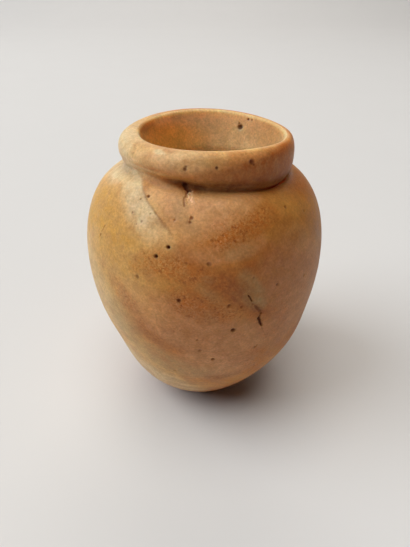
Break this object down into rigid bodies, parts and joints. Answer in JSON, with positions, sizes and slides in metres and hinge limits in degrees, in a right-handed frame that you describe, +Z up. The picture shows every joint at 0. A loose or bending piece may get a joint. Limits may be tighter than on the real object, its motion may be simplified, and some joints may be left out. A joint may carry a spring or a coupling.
{
  "type": "alabaster vase",
  "caption": "Small round-shouldered stone jar on a small flat foot, hollow and empty, with a tight groove under a thick rolled rim and a wide open mouth.",
  "frame": {"origin": "on the surface the foot stands on, under the middle of the body", "axes": "+Z up along the jar's axis, -Y towards the side seen in the picture, +X to that side's right"},
  "size_m": [0.0502, 0.0502, 0.0641],
  "materials": {
    "alabaster": "worn satin polish, banded cream, honey and reddish-brown calcite with pits and specks"
  },
  "bodies": {
    "root": {"vase": "alabaster"}
  },
  "joints": []
}
